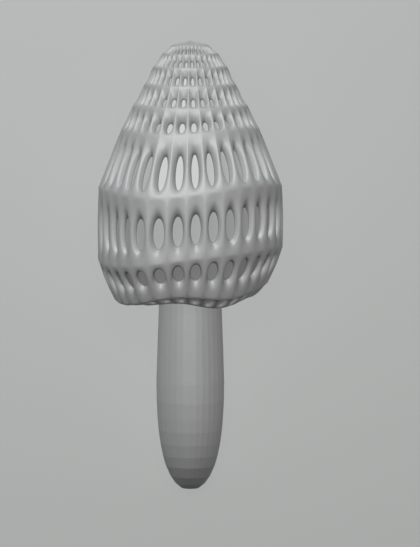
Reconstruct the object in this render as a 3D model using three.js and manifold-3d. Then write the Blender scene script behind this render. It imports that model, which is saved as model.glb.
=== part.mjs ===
// A morel mushroom, picked and lying on its side: a cap netted with ridges and pits, and a plain stem.
// Millimetres, +Z up. The mushroom is drawn upright, with its foot near z = 0 and its front facing -Y,
// then tipped back onto the rim of the cap and the side of the foot, so that its tip points along +Y.
import * as THREE from "three";
import { mergeVertices } from "three/addons/utils/BufferGeometryUtils.js";
import Module from "manifold-3d";

const wasm = await Module();
wasm.setup();

const { degToRad, lerp } = THREE.MathUtils;

// The net of the cap
const COLUMNS = 32;
const COLUMN_ANGLE = (2 * Math.PI) / COLUMNS;
const FRONT_PIT_TURN = degToRad(3.5); // how far right of the front the nearest column of pits stands
const TIP_HEIGHT = 109.8;
const TIP_GROOVE_DEPTH = 0.4;
const TIP_GROOVE_PLACE = 0.4; // where a groove is deepest, from the first ring to the tip
const OVAL_POINTS = 8;
const SHOULDER_SPREAD = 0.38; // where the rounded top of a ridge ends, from floor to ridge line
const SHOULDER_DEPTH_SHARE = 0.36;

// The rings of the net from the tip down and round to the stem: mean height, and radius.
// A ring isn't level: it rises by tilt to the right, by wave twice, by ripple three times and by
// flutter five times round the cap, and it falls by dip at the front.
const LEVEL = { tilt: 0, wave: 0, ripple: 0, flutter: 0, dip: 0 };
const RINGS = [
  { height: 108.8, radius: 4.3, ...LEVEL },
  { height: 106.8, radius: 6.65, ...LEVEL },
  { height: 103.5, radius: 9.0, ...LEVEL },
  { height: 99.2, radius: 11.1, ...LEVEL },
  { height: 94.1, radius: 13.9, ...LEVEL },
  { height: 88.3, radius: 16.8, ...LEVEL, tilt: 0.35, wave: 0.1, ripple: -0.3 },
  { height: 74.2, radius: 22.5, ...LEVEL, tilt: 0.7, wave: 0.2, ripple: -0.65, dip: -0.3 },
  { height: 58.0, radius: 22.7, ...LEVEL, tilt: 0.85, wave: 1.6, ripple: 0.5 },
  { height: 49.2, radius: 19.1, tilt: 0.65, wave: 1.25, ripple: 1.2, flutter: 0.35, dip: 1.4 },
  { height: 45.5, radius: 11.3, ...LEVEL, wave: -0.35, ripple: 0.35, dip: 0.2 },
];
const RIPPLE_TURN = degToRad(-18);
const FLUTTER_TURN = degToRad(-10);

// Two soft corners down the front of the cap: share of the radius that each adds, and how it fades
const CORNERS = [
  { turn: degToRad(-27.5), fade: degToRad(12.5), share: 0.105 },
  { turn: degToRad(22.5), fade: degToRad(13.5), share: 0.016 },
];
const CORNER_FULL_HEIGHT = 74.2;

// The row of pits under each ring but the last. width and length are the oval floor's shares of its
// cell, lower is how far it sits below the cell's middle, in half cells, depth is how far it lies
// below the ridges, deepens is how much deeper its lower end is, and bulge is how far the row swells
// out between its rings. A full pit has a rounded shoulder all round it.
const PLAIN_ROW = { deepens: 0, bulge: 0, full: false };
const FULL_ROW = { deepens: 0, bulge: 0, full: true };
const ROWS = [
  { width: 0.38, length: 0.5, lower: 0.2, depth: 0.9, ...PLAIN_ROW },
  { width: 0.38, length: 0.45, lower: 0.28, depth: 1.1, ...PLAIN_ROW },
  { width: 0.39, length: 0.43, lower: 0.32, depth: 1.3, ...PLAIN_ROW },
  { width: 0.4, length: 0.37, lower: 0.36, depth: 1.5, ...FULL_ROW },
  { width: 0.45, length: 0.39, lower: 0.35, depth: 1.8, ...FULL_ROW },
  { width: 0.47, length: 0.56, lower: 0.195, depth: 1.75, ...FULL_ROW, bulge: 0.1 },
  { width: 0.56, length: 0.455, lower: 0.1, depth: 1.2, ...FULL_ROW, bulge: 0.4 },
  { width: 0.59, length: 0.42, lower: -0.25, depth: 0.7, deepens: 0.6, bulge: 0.5, full: true },
  { width: 0.58, length: 0.62, lower: -0.05, depth: 2.6, ...PLAIN_ROW, bulge: 0.3 },
];

// The stem: height and radius, from the foot up into the cap
const STEM_RINGS = [
  { height: -0.6, radius: 2.2 },
  { height: 0.65, radius: 3.7 },
  { height: 2.5, radius: 4.95 },
  { height: 5.1, radius: 6.1 },
  { height: 7.8, radius: 6.85 },
  { height: 10.8, radius: 7.42 },
  { height: 14.1, radius: 7.85 },
  { height: 17.3, radius: 8.1 },
  { height: 21.3, radius: 8.3 },
  { height: 26.0, radius: 8.35 },
  { height: 34.0, radius: 8.1 },
  { height: 43.5, radius: 7.75 },
  { height: 52.0, radius: 7.6 },
];
const STEM_EDGE_TURN = degToRad(-1.5); // where one long edge between the stem's flats stands
const SOCKET_GAP = 0.3;
const UNDERSIDE_RING = { height: 47.4, radius: 8.6 };

// How it lies: how far the cap and the foot are pressed flat where they touch the table
const CAP_PRESS = 0.8;
const FOOT_PRESS = 0.3;
const CAP_REST_RING = RINGS[7];

const FLESH = { cap: 0xb4b5b2, stem: 0xa9aba8 };
const FLESH_ROUGHNESS = 0.85;

const gaussian = (distance, fade) => Math.exp(-0.5 * (distance / fade) ** 2);
const wrapped = (angle) => Math.atan2(Math.sin(angle), Math.cos(angle));
const columnTurn = (column) => FRONT_PIT_TURN + ((column % COLUMNS) - 0.5) * COLUMN_ANGLE;

// A point of the upright mushroom from its turn to the right of the front, radius and height
function around(turn, radius, height) {
  return new THREE.Vector3(radius * Math.sin(turn), -radius * Math.cos(turn), height);
}

// How much the corners widen the cap at a turn and height
function cornerScale(turn, height) {
  const full = (TIP_HEIGHT - height) / (TIP_HEIGHT - CORNER_FULL_HEIGHT);
  const widen = CORNERS.reduce(
    (sum, corner) => sum + corner.share * gaussian(wrapped(turn - corner.turn), corner.fade),
    0,
  );
  return 1 + widen * Math.min(full, 1);
}

// How far a ring stands above its mean height at a turn
function ringRise({ tilt, wave, ripple, flutter, dip }, turn) {
  const lean = tilt * Math.sin(turn) + wave * Math.sin(2 * turn) - dip * Math.cos(turn);
  const ripples = ripple * Math.cos(3 * (turn - RIPPLE_TURN));
  return lean + ripples + flutter * Math.cos(5 * (turn - FLUTTER_TURN));
}

// A point of the cap at a ring and column, both of which may be fractions, sunk below the ridges
function capPoint(ring, column, depth = 0) {
  const row = Math.min(Math.floor(ring), RINGS.length - 2);
  const [upper, lower] = [RINGS[row], RINGS[row + 1]];
  const share = ring - row;
  const fall = upper.height - lower.height;
  const spread = lower.radius - upper.radius;
  const length = Math.hypot(fall, spread);
  const swell = ROWS[row].bulge * 4 * share * (1 - share) - depth;
  const radius = lerp(upper.radius, lower.radius, share) + (swell * fall) / length;
  const height = lerp(upper.height, lower.height, share) + (swell * spread) / length;
  const turn = columnTurn(column);
  const rise = lerp(ringRise(upper, turn), ringRise(lower, turn), share);
  return around(turn, radius * cornerScale(turn, height), height + rise);
}

// A closed oval loop of points round a cell's pit. out is its share of the way from the floor's
// edge out to the ridge lines, and down its share of the pit's depth.
function ovalLoop(row, column, out, down) {
  const { width, length, lower, depth, deepens, bulge } = ROWS[row];
  return Array.from({ length: OVAL_POINTS }, (_, k) => {
    const angle = (2 * Math.PI * k) / OVAL_POINTS - 0.75 * Math.PI;
    const across = lerp(width, 1, out) * Math.cos(angle);
    const along = lerp(lower, 0, out) + lerp(length, 1, out) * Math.sin(angle);
    const floorDepth = depth + (deepens * (Math.sin(angle) + 1)) / 2 + bulge * (1 - along * along);
    return capPoint(row + 0.5 + along / 2, column + 0.5 + across / 2, floorDepth * down);
  });
}

// The cell's own outline on the ridge lines: its corners and the middles of its sides
function cellLoop(row, column) {
  const steps = [[0, 0], [0, 0.5], [0, 1], [0.5, 1], [1, 1], [1, 0.5], [1, 0], [0.5, 0]];
  return steps.map(([down, right]) => capPoint(row + down, column + right));
}

// Triangles between two loops of equally many points, and across one loop
function band(triangles, outer, inner) {
  outer.forEach((point, k) => {
    const next = (k + 1) % outer.length;
    triangles.push(point, inner[k], inner[next], point, inner[next], outer[next]);
  });
}

function fan(triangles, loop) {
  for (let k = 1; k < loop.length - 1; k++) triangles.push(loop[0], loop[k + 1], loop[k]);
}

function pitCell(triangles, row, column) {
  const outline = cellLoop(row, column);
  const edge = ovalLoop(row, column, 0, 1);
  if (ROWS[row].full) {
    const shoulder = ovalLoop(row, column, SHOULDER_SPREAD, SHOULDER_DEPTH_SHARE);
    band(triangles, outline, shoulder);
    band(triangles, shoulder, edge);
  } else band(triangles, outline, edge);
  fan(triangles, edge);
}

// The tip: a low cone whose ribs run up to a point, with a shallow groove between each two
function tipCell(triangles, column) {
  const tip = new THREE.Vector3(0, 0, TIP_HEIGHT);
  const ring = [0, 0.5, 1].map((share) => capPoint(0, column + share));
  const groove = ring[1].clone().lerp(tip, TIP_GROOVE_PLACE);
  groove.z -= TIP_GROOVE_DEPTH;
  const loop = [tip, ring[0], ring[1], ring[2]];
  loop.forEach((point, k) => triangles.push(point, loop[(k + 1) % loop.length], groove));
}

// The underside inside the last ring, closed over where the stem goes in
function undersideCell(triangles, column) {
  const centre = new THREE.Vector3(0, 0, UNDERSIDE_RING.height);
  const last = RINGS.length - 1;
  const outer = [0, 0.5, 1].map((share) => capPoint(last, column + share));
  const inner = [0, 1].map((share) =>
    around(columnTurn(column + share), UNDERSIDE_RING.radius, UNDERSIDE_RING.height),
  );
  triangles.push(outer[0], inner[0], outer[1], outer[1], inner[0], inner[1]);
  triangles.push(outer[1], inner[1], outer[2], inner[0], centre, inner[1]);
}

function capGeometry() {
  const triangles = [];
  for (let column = 0; column < COLUMNS; column++) {
    tipCell(triangles, column);
    ROWS.forEach((_, row) => pitCell(triangles, row, column));
    undersideCell(triangles, column);
  }
  return new THREE.BufferGeometry().setFromPoints(triangles);
}

// A turned solid with flat sides, from rings of height and radius, grown outwards by a margin
function turnedGeometry(rings, margin = 0) {
  const bottom = rings[0].height;
  const top = rings[rings.length - 1].height + margin;
  const wall = rings.map(({ height, radius }) => new THREE.Vector2(radius + margin, height));
  wall[wall.length - 1].y = top;
  const profile = [new THREE.Vector2(0, bottom), ...wall, new THREE.Vector2(0, top)];
  return new THREE.LatheGeometry(profile, COLUMNS, STEM_EDGE_TURN).rotateX(Math.PI / 2);
}

function solidOf(geometry) {
  const bare = geometry.clone();
  bare.deleteAttribute("normal");
  bare.deleteAttribute("uv");
  const merged = mergeVertices(bare, 1e-4);
  const vertProperties = merged.attributes.position.array;
  return new wasm.Manifold(
    new wasm.Mesh({ numProp: 3, vertProperties, triVerts: new Uint32Array(merged.index.array) }),
  );
}

function geometryOf(solid) {
  const { vertProperties, triVerts } = solid.getMesh();
  const geometry = new THREE.BufferGeometry()
    .setAttribute("position", new THREE.BufferAttribute(vertProperties, 3))
    .setIndex(new THREE.BufferAttribute(triVerts, 1));
  geometry.computeVertexNormals();
  return geometry;
}

// From the upright mushroom to the lying one, with the table at z = 0. The tilt is the one at which
// the back of the cap and the side of the foot, each a little pressed, touch the table together.
function layingMatrix() {
  const { height, radius } = CAP_REST_RING;
  const reach = radius - CAP_PRESS;
  const below = STEM_RINGS.filter((ring) => ring.height < height);
  const slopes = below.map((ring) => (reach - ring.radius + FOOT_PRESS) / (height - ring.height));
  const tilt = Math.atan(Math.min(...slopes));
  const lowest = height * Math.sin(tilt) - reach * Math.cos(tilt);
  const upright = new THREE.Matrix4().makeRotationX(tilt - Math.PI / 2);
  return new THREE.Matrix4().makeTranslation(0, 0, -lowest).multiply(upright);
}

// Everything below the table, in the upright mushroom's frame
function tableSolid(laying) {
  const reach = 4 * TIP_HEIGHT;
  const box = new THREE.BoxGeometry(reach, reach, reach).translate(0, 0, -reach / 2);
  return solidOf(box.applyMatrix4(laying.clone().invert()));
}

function fleshMesh(name, solid) {
  const material = new THREE.MeshStandardMaterial({
    color: FLESH[name],
    roughness: FLESH_ROUGHNESS,
    metalness: 0,
  });
  const mesh = new THREE.Mesh(geometryOf(solid), material);
  mesh.name = name;
  return mesh;
}

function morel() {
  const laying = layingMatrix();
  const table = tableSolid(laying);
  const socket = solidOf(turnedGeometry(STEM_RINGS, SOCKET_GAP));
  const cap = solidOf(capGeometry()).subtract(socket).subtract(table);
  const stem = solidOf(turnedGeometry(STEM_RINGS)).subtract(table);

  const lying = new THREE.Group();
  lying.add(fleshMesh("cap", cap), fleshMesh("stem", stem));
  lying.applyMatrix4(laying);
  const centre = new THREE.Box3().setFromObject(lying, true).getCenter(new THREE.Vector3());
  lying.position.x -= centre.x;
  lying.position.y -= centre.y;
  return new THREE.Group().add(lying);
}

export default morel();
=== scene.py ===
"""A picked morel mushroom lying on its side: its netted cap and its plain stem."""
import logging
import math
from collections.abc import Callable
from dataclasses import dataclass, field
from enum import Enum

import bmesh
import bpy
from mathutils import Matrix, Vector


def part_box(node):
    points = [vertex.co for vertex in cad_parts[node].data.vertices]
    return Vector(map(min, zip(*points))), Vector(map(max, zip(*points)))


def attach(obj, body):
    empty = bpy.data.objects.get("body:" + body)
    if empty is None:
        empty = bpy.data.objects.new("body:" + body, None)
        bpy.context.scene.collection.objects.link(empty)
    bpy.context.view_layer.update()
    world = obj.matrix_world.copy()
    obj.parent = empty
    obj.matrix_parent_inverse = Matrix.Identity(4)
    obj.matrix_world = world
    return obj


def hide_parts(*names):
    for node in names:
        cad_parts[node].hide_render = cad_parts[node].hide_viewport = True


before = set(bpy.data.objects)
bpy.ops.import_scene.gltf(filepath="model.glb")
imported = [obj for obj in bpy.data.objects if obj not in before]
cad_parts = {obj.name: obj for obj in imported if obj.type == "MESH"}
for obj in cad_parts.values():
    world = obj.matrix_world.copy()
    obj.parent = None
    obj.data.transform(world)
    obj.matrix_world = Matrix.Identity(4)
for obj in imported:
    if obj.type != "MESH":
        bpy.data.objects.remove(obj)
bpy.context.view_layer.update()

log = logging.getLogger("morel")

MM = 0.001
# The UV map of painted shade: how much shade each piece has painted into its colour.
PAINTED_SHADE_MAP = "shade"
PICTURE_WIDTH = 420
PICTURE_HEIGHT = 547


class Slot(Enum):
    """The record's material slots."""

    CAP = "cap_flesh"
    STEM = "stem_flesh"


def lerp(start: float, end: float, share: float) -> float:
    """Returns the value that lies at a share of the way from start to end."""
    return start + (end - start) * share


@dataclass(frozen=True)
class Ring:
    """One level line of the net, which wavers round the cap. Sizes are in millimetres."""

    height: float
    radius: float
    tilt: float = 0.0
    wave: float = 0.0
    ripple: float = 0.0
    dip: float = 0.0
    flutter: float = 0.0
    ripple_turn: float = math.radians(-18)
    flutter_turn: float = math.radians(-10)

    def rise(self, turn: float) -> float:
        """Finds how far the ring stands above its mean height.

        Args:
            turn: Angle to the right of the front, in radians.

        Returns:
            The rise in millimetres.
        """
        lean = self.tilt * math.sin(turn) + self.wave * math.sin(2 * turn)
        ripple = self.ripple * math.cos(3 * (turn - self.ripple_turn))
        flutter = self.flutter * math.cos(5 * (turn - self.flutter_turn))
        return lean + ripple + flutter - self.dip * math.cos(turn)


@dataclass(frozen=True)
class PitRow:
    """The row of pits under one ring.

    The width and length of the oval floors, and how low they lie, are shares of half a cell.
    The depth, how much deeper the lower ends are, and how far the row swells are in millimetres.
    lines is the number of lines round each pit's wall, counted from the floor up.
    """

    width: float
    length: float
    lower: float
    depth: float
    deepens: float = 0.0
    bulge: float = 0.0
    lines: int = 2


@dataclass(frozen=True)
class WallLine:
    """A line round a pit's wall: its share of the way out to the ridges, and of the depth."""

    out: float
    down: float


@dataclass(frozen=True)
class Corner:
    """A soft corner that runs down the cap: where it is, how it fades and how much it adds."""

    turn: float
    fade: float
    share: float

    def widen(self, turn: float) -> float:
        """Returns the share of the radius that the corner adds at a turn."""
        away = math.atan2(math.sin(turn - self.turn), math.cos(turn - self.turn))
        return self.share * math.exp(-0.5 * (away / self.fade) ** 2)


def around(turn: float, radius: float, height: float) -> Vector:
    """Returns a point of the upright mushroom, in millimetres, from its turn to the right."""
    return Vector((radius * math.sin(turn), -radius * math.cos(turn), height))


def start_piece(name: str) -> bpy.types.Object:
    """Names the mesh that an operator has just added.

    Args:
        name: The piece's name.

    Returns:
        The piece, which is active and in edit mode.
    """
    piece = bpy.context.object
    piece.name = name
    piece.data.name = name
    bpy.ops.object.mode_set(mode="EDIT")
    bpy.ops.mesh.select_mode(type="FACE")
    return piece


def choose(piece: bpy.types.Object, kind: str, wanted: Callable[..., bool]) -> None:
    """Selects just the elements of a piece in edit mode that pass a test.

    Args:
        piece: The piece in edit mode.
        kind: Which of its elements to test: verts, edges or faces.
        wanted: The test.
    """
    bpy.ops.mesh.select_mode(type={"verts": "VERT", "edges": "EDGE", "faces": "FACE"}[kind])
    bpy.ops.mesh.select_all(action="DESELECT")
    mesh = bmesh.from_edit_mesh(piece.data)
    for element in getattr(mesh, kind):
        element.select_set(wanted(element))
    mesh.select_flush_mode()
    bmesh.update_edit_mesh(piece.data)


def smooth_out(piece: bpy.types.Object, levels: int) -> None:
    """Rounds a finished cage with a subdivision surface, and applies it.

    Args:
        piece: The cage, in object mode.
        levels: How many times its faces are divided.
    """
    surface = piece.modifiers.new("surface", "SUBSURF")
    surface.levels = levels
    surface.render_levels = levels
    bpy.context.view_layer.objects.active = piece
    bpy.ops.object.modifier_apply(modifier=surface.name)


@dataclass(frozen=True)
class Flesh:
    """Grey fungus flesh with a soft waxy sheen, a fine grain and very faint mottling.

    The colours are linear. The sizes of the patterns are in metres, and stretch draws them out
    along a piece that lies at a tilt. Where the shade map passes shade_start, shade is painted
    into the flesh: it gets darker, down to the share shade of its colour at 1.
    """

    name: str
    pale: tuple[float, float, float]
    dark: tuple[float, float, float]
    roughness: float = 0.52
    gloss: float = 1.0
    mottle_size: float = 7 * MM
    speckle_size: float = 0.99 * MM
    speckle_share: float = 0.35
    mottle_range: tuple[float, float] = (0.42, 0.92)
    noise_roughness: float = 0.6
    grain_size: float = 0.45 * MM
    grain_height: float = 0.035 * MM
    stretch: float = 1.0
    tilt: float = 0.0
    shade_start: float = 0.0
    shade: float = 0.1

    def material(self) -> bpy.types.Material:
        """Builds the node material.

        Returns:
            A material on Object coordinates.
        """
        made = bpy.data.materials.new(self.name)
        made.use_nodes = True
        tree = made.node_tree
        shader = tree.nodes["Principled BSDF"]
        shader.inputs["Roughness"].default_value = self.roughness
        shader.inputs["Specular IOR Level"].default_value = self.gloss
        place = tree.nodes.new("ShaderNodeTexCoord")
        laid = tree.nodes.new("ShaderNodeMapping")
        laid.inputs["Rotation"].default_value = (-self.tilt, 0.0, 0.0)
        laid.inputs["Scale"].default_value = (1.0, 1.0 / self.stretch, 1.0)
        tree.links.new(place.outputs["Object"], laid.inputs["Vector"])
        mottle = self._noise(tree, laid, self.mottle_size, detail=3.0)
        speckle = self._noise(tree, laid, self.speckle_size, detail=2.0)
        grain = self._noise(tree, laid, self.grain_size, detail=4.0)
        mixed = tree.nodes.new("ShaderNodeMath")
        mixed.operation = "MULTIPLY_ADD"
        mixed.inputs[1].default_value = self.speckle_share
        tree.links.new(speckle.outputs["Fac"], mixed.inputs[0])
        tree.links.new(mottle.outputs["Fac"], mixed.inputs[2])
        ramp = tree.nodes.new("ShaderNodeValToRGB")
        colours = zip(ramp.color_ramp.elements, self.mottle_range, (self.dark, self.pale))
        for element, position, colour in colours:
            element.position = position
            element.color = (*colour, 1.0)
        tree.links.new(mixed.outputs[0], ramp.inputs["Fac"])
        tree.links.new(self._with_painted_shade(tree, ramp.outputs["Color"]), shader.inputs["Base Color"])
        bump = tree.nodes.new("ShaderNodeBump")
        bump.inputs["Distance"].default_value = self.grain_height
        tree.links.new(grain.outputs["Fac"], bump.inputs["Height"])
        tree.links.new(bump.outputs["Normal"], shader.inputs["Normal"])
        return made

    def _with_painted_shade(
        self, tree: bpy.types.NodeTree, colour: bpy.types.NodeSocket
    ) -> bpy.types.NodeSocket:
        """Paints shade into the flesh's colour where the piece's own map says so.

        Args:
            tree: The material's nodes.
            colour: The colour of the flesh.

        Returns:
            The socket with the darkened colour.
        """
        piece_map = tree.nodes.new("ShaderNodeUVMap")
        piece_map.uv_map = PAINTED_SHADE_MAP
        parts = tree.nodes.new("ShaderNodeSeparateXYZ")
        tree.links.new(piece_map.outputs["UV"], parts.inputs["Vector"])
        share = tree.nodes.new("ShaderNodeMapRange")
        share.inputs["From Min"].default_value = self.shade_start
        share.inputs["To Min"].default_value = 1.0
        share.inputs["To Max"].default_value = self.shade
        tree.links.new(parts.outputs["X"], share.inputs["Value"])
        shaded = tree.nodes.new("ShaderNodeVectorMath")
        shaded.operation = "SCALE"
        tree.links.new(colour, shaded.inputs["Vector"])
        tree.links.new(share.outputs["Result"], shaded.inputs["Scale"])
        return shaded.outputs["Vector"]

    def _noise(
        self, tree: bpy.types.NodeTree, place: bpy.types.Node, size: float, detail: float
    ) -> bpy.types.Node:
        """Adds a noise texture.

        Args:
            tree: The material's nodes.
            place: The node that gives the coordinates.
            size: The size of one patch, in metres.
            detail: How many finer layers it has.

        Returns:
            The noise node.
        """
        noise = tree.nodes.new("ShaderNodeTexNoise")
        noise.inputs["Scale"].default_value = 1.0 / size
        noise.inputs["Detail"].default_value = detail
        noise.inputs["Roughness"].default_value = self.noise_roughness
        tree.links.new(place.outputs["Vector"], noise.inputs["Vector"])
        return noise


@dataclass
class Stem:
    """The plain stem: a many-sided stalk that narrows to a small rounded foot.

    The rings are heights and radii, and edge_width is the width of the rounded edges, all in
    millimetres. The shade map, which paints shade on the flats that face down, stops at darkest.
    """

    sides: int = 32
    edge_turn: float = math.radians(-1.5)
    edge_width: float = 0.05
    edge_steps: int = 2
    edge_angle: float = math.radians(2)
    darkest_painted_shade: float = 0.75
    rings: tuple[tuple[float, float], ...] = (
        (-0.6, 2.2),
        (0.65, 3.7),
        (2.5, 4.95),
        (5.1, 6.1),
        (7.8, 6.85),
        (10.8, 7.42),
        (14.1, 7.85),
        (17.3, 8.1),
        (21.3, 8.3),
        (26.0, 8.35),
        (34.0, 8.1),
        (43.5, 7.75),
        (52.0, 7.6),
    )

    def build(self) -> bpy.types.Object:
        """Models the upright stem.

        Returns:
            The stem, with its foot at about the origin.
        """
        height, radius = self.rings[0]
        bpy.ops.mesh.primitive_circle_add(
            vertices=self.sides,
            radius=radius * MM,
            fill_type="NGON",
            location=(0.0, 0.0, height * MM),
            rotation=(0.0, 0.0, self.edge_turn - math.pi / 2),
        )
        bpy.ops.object.transform_apply()
        piece = start_piece("stem_stalk")
        bpy.ops.mesh.select_all(action="SELECT")
        for (low, narrow), (high, wide) in zip(self.rings, self.rings[1:]):
            bpy.ops.mesh.extrude_region_move(
                TRANSFORM_OT_translate={"value": (0.0, 0.0, (high - low) * MM)}
            )
            scale = wide / narrow
            bpy.ops.transform.resize(value=(scale, scale, 1.0))
        bpy.ops.mesh.select_all(action="SELECT")
        bpy.ops.mesh.normals_make_consistent(inside=False)
        self._paint_shade(piece)
        bpy.ops.object.mode_set(mode="OBJECT")
        self._soften(piece)
        return piece

    def _paint_shade(self, piece: bpy.types.Object) -> None:
        """Maps how far each flat faces down, to paint shade on the flats that face down, so the
        foot is painted darker.

        Args:
            piece: The stem in edit mode.
        """
        mesh = bmesh.from_edit_mesh(piece.data)
        shade = mesh.loops.layers.uv.verify()
        for face in mesh.faces:
            # Painted shade: the more a flat faces down, the darker it is painted.
            down = min(max(-face.normal.z, 0.0), self.darkest_painted_shade)
            for corner in face.loops:
                corner[shade].uv = (down, 0.0)
        bmesh.update_edit_mesh(piece.data)
        piece.data.uv_layers.active.name = PAINTED_SHADE_MAP

    def _soften(self, piece: bpy.types.Object) -> None:
        """Rounds the edges between the flats by a little.

        Args:
            piece: The stem in object mode.
        """
        bevel = piece.modifiers.new("edges", "BEVEL")
        bevel.width = self.edge_width * MM
        bevel.segments = self.edge_steps
        bevel.limit_method = "ANGLE"
        bevel.angle_limit = self.edge_angle
        bpy.ops.object.modifier_apply(modifier=bevel.name)
        bpy.ops.object.shade_flat()


@dataclass
class Cap:
    """The cap: a sheet of net, modelled flat, wrapped round into a cone and closed below.

    On the flat sheet one column of pits is 1 wide, one row is 1 long, and depth is -Z in
    millimetres. The rings run along it from the tip, at 0, to the last ring under the rim. The
    tip's own ring and its point lie before them, and the socket's rings lie behind them.
    """

    columns: int = 32
    front_pit_turn: float = math.radians(3.5)
    tip_height: float = 109.8
    tip_ring: tuple[float, float] = (109.4, 2.0)
    tip_groove: float = 0.6
    rings: tuple[Ring, ...] = (
        Ring(108.8, 4.3),
        Ring(106.8, 6.65),
        Ring(103.5, 9.0),
        Ring(99.2, 11.1),
        Ring(94.1, 13.9),
        Ring(88.3, 16.8, tilt=0.35, wave=0.1, ripple=-0.3),
        Ring(74.2, 22.5, tilt=0.7, wave=0.2, ripple=-0.65, dip=-0.3),
        Ring(58.0, 22.7, tilt=0.85, wave=1.6, ripple=0.5),
        Ring(49.2, 19.1, tilt=0.65, wave=1.25, ripple=1.2, dip=1.4, flutter=0.35),
        Ring(46.95, 15.5, wave=-0.35, dip=1.1, flutter=0.62),
    )
    rows: tuple[PitRow, ...] = (
        PitRow(0.38, 0.5, 0.2, 0.9, lines=1),
        PitRow(0.38, 0.45, 0.28, 1.1),
        PitRow(0.39, 0.43, 0.32, 1.3),
        PitRow(0.4, 0.37, 0.36, 1.5),
        PitRow(0.45, 0.39, 0.35, 1.8, lines=3),
        PitRow(0.47, 0.56, 0.195, 1.75, bulge=0.1, lines=3),
        PitRow(0.56, 0.455, 0.1, 1.25, bulge=0.32, lines=3),
        PitRow(0.59, 0.42, -0.25, 0.75, deepens=0.6, bulge=0.38, lines=3),
        PitRow(0.46, 0.6, -0.1, 1.2, bulge=0.2),
    )
    wall: tuple[WallLine, ...] = (WallLine(0.52, 0.2), WallLine(0.2, 0.56), WallLine(0.0, 1.0))
    corners: tuple[Corner, ...] = (
        Corner(math.radians(-27.5), math.radians(12.5), 0.105),
        Corner(math.radians(22.5), math.radians(13.5), 0.016),
    )
    corner_full_height: float = 74.2
    oval_control: float = 0.9
    socket: tuple[tuple[float, float], ...] = ((47.4, 8.6), (47.4, 8.0), (52.3, 7.9), (52.3, 0.0))
    ring_creases: tuple[float, ...] = (0.3, 0.4, 0.4, 0.5, 0.5, 0.6, 0.9, 0.9, 0.8, 0.0)
    ridge_crease: float = 0.6
    ridge_rows: int = 6
    levels: int = 2
    inset: float = 0.05
    weld: float = 0.002
    # Values of the map of painted shade: the dark line at the foot of each pit's wall, the most
    # on the walls' upper ends, and the depth in millimetres over which the underside's ribs fade
    # from painted dark.
    pit_foot_painted_shade: float = 0.86
    brow_painted_shade: float = 0.6
    underside_painted_shade: float = 1.0

    def turn(self, column: float) -> float:
        """Returns the turn to the right of the front at a place across the sheet."""
        return self.front_pit_turn + (column - 0.5) * 2 * math.pi / self.columns

    def corner_scale(self, turn: float, height: float) -> float:
        """Returns how much the corners widen the cap at a turn and height."""
        full = (self.tip_height - height) / (self.tip_height - self.corner_full_height)
        return 1 + min(full, 1.0) * sum(corner.widen(turn) for corner in self.corners)

    def net_point(self, column: float, ring: float, depth: float) -> Vector:
        """Finds a point of the net on the upright cap.

        Args:
            column: Place across the sheet, in cells.
            ring: Place along the sheet, in cells from the first ring.
            depth: How far it lies below the ridges, in millimetres.

        Returns:
            The point in millimetres.
        """
        row = min(int(ring), len(self.rings) - 2)
        upper, lower = self.rings[row], self.rings[row + 1]
        share = ring - row
        fall = upper.height - lower.height
        spread = lower.radius - upper.radius
        length = math.hypot(fall, spread)
        swell = self.rows[row].bulge * 4 * share * (1 - share) - depth
        radius = lerp(upper.radius, lower.radius, share) + swell * fall / length
        height = lerp(upper.height, lower.height, share) + swell * spread / length
        turn = self.turn(column)
        rise = lerp(upper.rise(turn), lower.rise(turn), share)
        return around(turn, radius * self.corner_scale(turn, height), height + rise)

    def sheet_point(self, column: float, ring: float, depth: float) -> Vector:
        """Finds the place on the upright cap of any point of the flat sheet.

        Args:
            column: Place across the sheet, in cells.
            ring: Place along the sheet: below 0 at the tip, past the last ring in the socket.
            depth: How far it lies below the ridges, in millimetres.

        Returns:
            The point in millimetres.
        """
        last = len(self.rings) - 1
        if ring < -1.5:
            return Vector((0.0, 0.0, self.tip_height))
        if ring < -0.5:
            height, radius = self.tip_ring
            groove = self.tip_groove if round(column * 2) % 2 else 0.0
            return around(self.turn(column), radius, height - groove)
        if ring > last + 0.5:
            height, radius = self.socket[round(ring) - last - 1]
            return around(self.turn(column), radius, height)
        return self.net_point(column, ring, depth)

    def build(self) -> bpy.types.Object:
        """Models the upright cap.

        Returns:
            The cap, closed, with the foot of the stem at the origin.
        """
        piece = self._sheet()
        self._join_cells(piece)
        self._sink_pits(piece)
        self._crease(piece)
        self._wrap(piece)
        smooth_out(piece, self.levels)
        self._clear_floors(piece)
        return piece

    def _sheet(self) -> bpy.types.Object:
        """Lays out the flat sheet of half cells.

        Returns:
            The sheet, in edit mode.
        """
        last = len(self.rings) - 1
        levels = [-2.0, -1.0] + [k / 2 for k in range(2 * last + 1)]
        levels += [last + 1.0 + k for k in range(len(self.socket))]
        across = 2 * self.columns
        bpy.ops.mesh.primitive_grid_add(
            x_subdivisions=across, y_subdivisions=len(levels) - 1, size=2
        )
        piece = start_piece("cap_net")
        mesh = bmesh.from_edit_mesh(piece.data)
        for vertex in mesh.verts:
            column = round((vertex.co.x + 1) / 2 * across) / 2
            step = round((vertex.co.y + 1) / 2 * (len(levels) - 1))
            vertex.co = (column, levels[step], 0.0)
        bmesh.update_edit_mesh(piece.data)
        return piece

    def _join_cells(self, piece: bpy.types.Object) -> None:
        """Joins the four quarters of each cell into one face of eight sides.

        Args:
            piece: The sheet, in edit mode.
        """
        last = len(self.rings) - 1

        def in_turn(face: bmesh.types.BMFace, parity: int) -> bool:
            """Tells whether a face is in a pit cell of one colour of a checkerboard."""
            middle = face.calc_center_median()
            inside = 0 < middle.y < last
            return inside and (int(middle.x) + int(middle.y)) % 2 == parity

        for parity in (0, 1):
            choose(piece, "faces", lambda face: in_turn(face, parity))
            bpy.ops.mesh.dissolve_faces()

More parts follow.
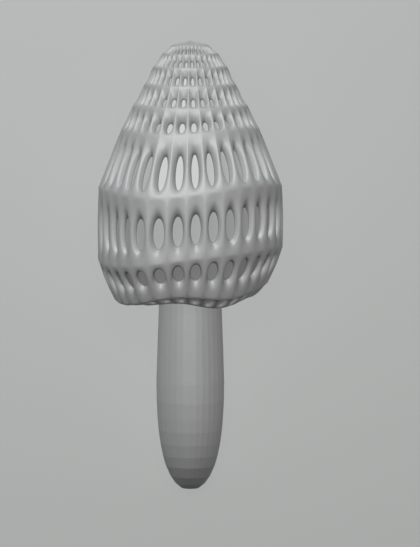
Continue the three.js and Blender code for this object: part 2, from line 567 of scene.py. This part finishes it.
    def _sink_pits(self, piece: bpy.types.Object) -> None:
        """Insets each cell line by line, from the brow of its pit down to the floor.

        Args:
            piece: The sheet, in edit mode.
        """
        for number, line in enumerate(self.wall):
            steps_left = len(self.wall) - number
            choose(piece, "faces", lambda face: self._lines(face) >= steps_left)
            bpy.ops.mesh.inset(thickness=self.inset, use_individual=True)
            mesh = bmesh.from_edit_mesh(piece.data)
            for face in mesh.faces:
                if face.select:
                    self._shape_loop(face, line)
            bmesh.update_edit_mesh(piece.data)
        choose(piece, "faces", lambda face: self._lines(face) > 0 and not self._below(face))

    def _below(self, face: bmesh.types.BMFace) -> bool:
        """Returns whether a face of the sheet is in the last row, under the rim."""
        last = len(self.rings) - 1
        return last - 1 < face.calc_center_median().y < last

    def _lines(self, face: bmesh.types.BMFace) -> int:
        """Returns how many wall lines the pit of a cell's eight-sided face gets, or 0."""
        ring = face.calc_center_median().y
        if len(face.verts) != 8 or not 0 < ring < len(self.rows):
            return 0
        return self.rows[int(ring)].lines

    def _shape_loop(self, face: bmesh.types.BMFace, line: WallLine) -> None:
        """Sets the corners of a cell's inner face on their oval.

        Args:
            face: The inner face.
            line: The line of the wall that the face ends at.
        """
        middle = face.calc_center_median()
        column, row = int(middle.x), int(middle.y)
        pit = self.rows[row]
        control = lerp(1 / self.oval_control, 1.0, line.out)
        half_width = lerp(pit.width, 1.0, line.out) * control
        half_length = lerp(pit.length, 1.0, line.out) * control
        step = math.pi / 4
        for vertex in face.verts:
            away = vertex.co - middle
            angle = round(math.atan2(away.y, away.x) / step) * step
            x = half_width * math.cos(angle)
            y = lerp(pit.lower, 0.0, line.out) + half_length * math.sin(angle)
            swell = pit.bulge * (1 - y * y)
            depth = pit.depth + pit.deepens * (math.sin(angle) + 1) / 2 + swell
            vertex.co = (column + 0.5 + x / 2, row + 0.5 + y / 2, -depth * line.down)

    def _crease(self, piece: bpy.types.Object) -> None:
        """Keeps the rims of the floors crisp, and the main rings and the socket a little sharp.

        The shade map paints shade round the pits: at the foot of the walls it holds the foot
        line's value, a painted dark line, up to the brow's share on the walls' upper ends, and 0
        on the floors. On the underside it falls from 1 on the ribs to 0 in the pits, painting the
        ribs there darker.

        Args:
            piece: The sheet, in edit mode, with the floors selected.
        """
        piece.data.uv_layers.active.name = PAINTED_SHADE_MAP
        mesh = bmesh.from_edit_mesh(piece.data)
        shade = mesh.loops.layers.uv.verify()
        crease = mesh.edges.layers.float.get("crease_edge") or mesh.edges.layers.float.new(
            "crease_edge"
        )
        last = len(self.rings) - 1
        for face in mesh.faces:
            face.smooth = not face.select
            for corner in face.loops:
                corner[shade].uv = (self._paint_shade(face, corner.vert), 0.0)
        for face in mesh.faces:
            if face.select:
                for corner in face.loops:
                    corner.edge[crease] = 1.0
                    # A painted dark line of shade at the foot of each pit's wall.
                    wall_corner = corner.link_loop_radial_next
                    wall_corner[shade].uv.x = self.pit_foot_painted_shade
                    wall_corner.link_loop_next[shade].uv.x = self.pit_foot_painted_shade
        for edge in mesh.edges:
            first, second = (vertex.co for vertex in edge.verts)
            if first.z or second.z:
                continue
            if first.y == second.y > last + 1.5:
                edge[crease] = 1.0
            elif first.y == second.y and 0 <= first.y <= last and first.y == int(first.y):
                edge[crease] = self.ring_creases[int(first.y)]
            elif self._on_ridge(first, second):
                edge[crease] = self.ridge_crease
        bmesh.update_edit_mesh(piece.data)

    def _paint_shade(self, face: bmesh.types.BMFace, vertex: bmesh.types.BMVert) -> float:
        """Works out the painted shade map's value at a corner of a face, but for the walls' foot
        lines.

        Args:
            face: The face of the sheet.
            vertex: The vertex at its corner.

        Returns:
            The value, from 0 to 1.
        """
        # Painted shade under the rim: dark on the ribs, fading to none down in the pits.
        if self._below(face):
            return max(0.0, 1.0 + vertex.co.z / self.underside_painted_shade)
        if face.select or vertex.co.z == 0.0:
            return 0.0
        # Painted shade on the upper end of each pit's wall, darker towards the ring above.
        middle = int(face.calc_center_median().y) + 0.5
        return min(max(0.0, 2 * (middle - vertex.co.y)), self.brow_painted_shade)

    def _on_ridge(self, first: Vector, second: Vector) -> bool:
        """Returns whether two points end a ridge between the upper halves of two pits."""
        ring = min(first.y, second.y)
        return first.x == second.x == int(first.x) and 0 <= ring == int(ring) < self.ridge_rows

    def _wrap(self, piece: bpy.types.Object) -> None:
        """Wraps the flat sheet into the cap and joins its seam and its two poles.

        Args:
            piece: The sheet, in edit mode.
        """
        mesh = bmesh.from_edit_mesh(piece.data)
        for vertex in mesh.verts:
            column, ring, rise = vertex.co
            vertex.co = self.sheet_point(column, ring, -rise) * MM
        for face in mesh.faces:
            if not face.smooth:
                face.normal_update()
                middle = face.calc_center_median()
                for vertex in face.verts:
                    vertex.co -= face.normal * face.normal.dot(vertex.co - middle)
        bmesh.update_edit_mesh(piece.data)
        bpy.ops.mesh.select_all(action="SELECT")
        bpy.ops.mesh.remove_doubles(threshold=self.weld * MM)
        bpy.ops.mesh.normals_make_consistent(inside=False)
        bpy.ops.object.mode_set(mode="OBJECT")

    def _clear_floors(self, piece: bpy.types.Object) -> None:
        """Joins the small faces of each flat floor into one.

        Args:
            piece: The rounded cap, in object mode.
        """
        bpy.ops.object.mode_set(mode="EDIT")
        choose(piece, "faces", lambda face: not face.smooth)
        bpy.ops.mesh.dissolve_faces()
        bpy.ops.object.mode_set(mode="OBJECT")


@dataclass
class Mushroom:
    """The whole morel: it is built upright and laid on the rim of its cap and its foot."""

    cap: Cap = field(default_factory=Cap)
    stem: Stem = field(default_factory=Stem)
    cap_press: float = 0.8
    foot_press: float = 0.3
    rest_ring: int = 7
    clearance: float = 0.03
    tilt: float = 0.0
    laying: Matrix = field(default_factory=Matrix)

    def lie_down(self) -> None:
        """Works out the tilt and the place of the lying mushroom from its own rings."""
        ring = self.cap.rings[self.rest_ring]
        reach = ring.radius - self.cap_press
        slopes = [
            (reach - radius + self.foot_press) / (ring.height - height)
            for height, radius in self.stem.rings
            if height < ring.height
        ]
        self.tilt = math.atan(min(slopes))
        lowest = ring.height * math.sin(self.tilt) - reach * math.cos(self.tilt)
        turn = Matrix.Rotation(self.tilt - math.pi / 2, 4, "X")
        foot = min(
            (turn @ around(side, radius, height)).y
            for height, radius in self.stem.rings
            for side in (0.0, math.pi)
        )
        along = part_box("stem")[0].y / MM - foot
        self.laying = Matrix.Translation(Vector((0.0, along, -lowest)) * MM) @ turn

    def place(self, upright: Vector) -> Vector:
        """Returns where a point of the upright mushroom, in millimetres, lies, in metres."""
        return self.laying @ (upright * MM)

    def dress(self, piece: bpy.types.Object, node: str, flesh: Flesh) -> None:
        """Lays a finished piece down, presses it on the table and gives it its material.

        Args:
            piece: The upright piece.
            node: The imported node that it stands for.
            flesh: Its finish.
        """
        piece.data.transform(self.laying)
        for vertex in piece.data.vertices:
            vertex.co.z = max(vertex.co.z, self.clearance * MM)
        piece.data.update()
        piece.data.materials.append(flesh.material())
        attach(piece, "root")
        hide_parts(node)
        log.info("%s: %d faces", piece.name, len(piece.data.polygons))

    def build(self) -> None:
        """Builds both pieces."""
        self.lie_down()
        grey = Flesh(
            name="cap_flesh",
            pale=(0.38, 0.38, 0.38),
            dark=(0.36, 0.36, 0.36),
            # Painted shade round the pits, down to a tenth of the flesh's colour.
            shade_start=0.43,
            shade=0.1,
        )
        stalk = Flesh(
            name="stem_flesh",
            pale=(0.375, 0.375, 0.375),
            dark=(0.355, 0.355, 0.355),
            stretch=4.0,
            tilt=self.tilt,
        )
        self.dress(self.cap.build(), "cap", grey)
        self.dress(self.stem.build(), "stem", stalk)


@dataclass(frozen=True)
class Lamp:
    """A square soft lamp that shines on the mushroom from one side.

    A fill lamp casts no shadow.
    """

    name: str
    towards: tuple[float, float, float]
    power: float
    side: float
    colour: tuple[float, float, float] = (1.0, 1.0, 1.0)
    distance: float = 0.7
    fill: bool = False

    def hang(self, middle: Vector) -> None:
        """Adds the lamp.

        Args:
            middle: The point that it shines on.
        """
        light = bpy.data.lights.new(self.name, "AREA")
        light.energy = self.power
        light.size = self.side
        light.color = self.colour
        light.use_shadow = not self.fill
        lamp = bpy.data.objects.new(self.name, light)
        bpy.context.scene.collection.objects.link(lamp)
        back = Vector(self.towards).normalized()
        lamp.location = middle + back * self.distance
        lamp.rotation_mode = "QUATERNION"
        lamp.rotation_quaternion = back.to_track_quat("Z", "Y")


@dataclass
class Studio:
    """The plain pale floor, the soft light and the camera.

    The camera is aimed at a height of the upright mushroom in millimetres, which it shows at
    picture_place, in pixels from the top left. picture_scale is a pixel's size in millimetres.
    """

    mushroom: Mushroom
    floor_side: float = 6.0
    floor_colour: tuple[float, float, float] = (0.45, 0.45, 0.445)
    floor_roughness: float = 0.9
    sky: tuple[float, float, float] = (0.9, 0.95, 1.0)
    sky_strength: float = 0.012
    lamps: tuple[Lamp, ...] = (
        Lamp("front_lamp", (0.0, 0.2, 0.98), 3.1, 0.3, (1.0, 0.97, 0.96), fill=True),
        Lamp("top_lamp", (-0.2, 0.6, 0.78), 2.4, 0.3, (0.88, 1.0, 1.0), fill=True),
        Lamp("over_lamp", (-0.05, -0.05, 1.0), 0.4, 0.5),
    )
    aim_height: float = 55.0
    camera_rise: float = math.radians(6.14)
    camera_distance: float = 888.0
    picture_scale: float = 0.2455
    picture_place: tuple[float, float] = (190.3, 263.8)
    sensor: float = 36.0
    clip: tuple[float, float] = (0.05, 20.0)

    def build(self) -> None:
        """Sets up the floor, the lamps and the camera."""
        self._floor()
        middle = self.mushroom.place(Vector((0.0, 0.0, self.aim_height)))
        for lamp in self.lamps:
            lamp.hang(middle)
        self._sky()
        self._camera()
        bpy.context.scene.view_settings.view_transform = "Standard"

    def _floor(self) -> None:
        """Lays the floor under the mushroom."""
        bpy.ops.mesh.primitive_plane_add(size=self.floor_side)
        floor = bpy.context.object
        floor.name = "floor"
        paint = bpy.data.materials.new("floor_paint")
        paint.use_nodes = True
        shader = paint.node_tree.nodes["Principled BSDF"]
        shader.inputs["Base Color"].default_value = (*self.floor_colour, 1.0)
        shader.inputs["Roughness"].default_value = self.floor_roughness
        floor.data.materials.append(paint)

    def _sky(self) -> None:
        """Fills the shadows with an even light."""
        world = bpy.data.worlds.new("sky")
        world.use_nodes = True
        light = world.node_tree.nodes["Background"]
        light.inputs["Color"].default_value = (*self.sky, 1.0)
        light.inputs["Strength"].default_value = self.sky_strength
        bpy.context.scene.world = world

    def _camera(self) -> None:
        """Looks down on the front of the mushroom from the photograph's angle."""
        place = self.mushroom.place
        base = place(Vector((0.0, 0.0, 0.0)))
        along = (place(Vector((0.0, 0.0, 1.0))) - base).normalized()
        front = (place(Vector((0.0, -1.0, 0.0))) - base).normalized()
        right = Vector((1.0, 0.0, 0.0))
        back = front * math.cos(self.camera_rise) + along * math.sin(self.camera_rise)
        up = along * math.cos(self.camera_rise) - front * math.sin(self.camera_rise)
        middle = place(Vector((0.0, 0.0, self.aim_height)))
        spot = middle + back * self.camera_distance * MM
        step_right = (PICTURE_WIDTH / 2 - self.picture_place[0]) * self.picture_scale * MM
        step_down = (PICTURE_HEIGHT / 2 - self.picture_place[1]) * self.picture_scale * MM
        target = middle + right * step_right - up * step_down
        view = (spot - target).normalized()
        side = up.cross(view).normalized()
        data = bpy.data.cameras.new("camera")
        data.sensor_width = self.sensor
        data.lens = self.sensor * self.camera_distance / (PICTURE_HEIGHT * self.picture_scale)
        data.clip_start, data.clip_end = self.clip
        camera = bpy.data.objects.new("camera", data)
        bpy.context.scene.collection.objects.link(camera)
        turned = Matrix((side, view.cross(side), view)).transposed().to_4x4()
        camera.matrix_world = Matrix.Translation(spot) @ turned
        bpy.context.scene.camera = camera


def main() -> None:
    """Builds the mushroom and its studio."""
    logging.basicConfig(level=logging.INFO, format="%(name)s: %(message)s")
    bpy.ops.object.select_all(action="DESELECT")
    mushroom = Mushroom()
    mushroom.build()
    Studio(mushroom).build()


if __name__ == "__main__":
    main()
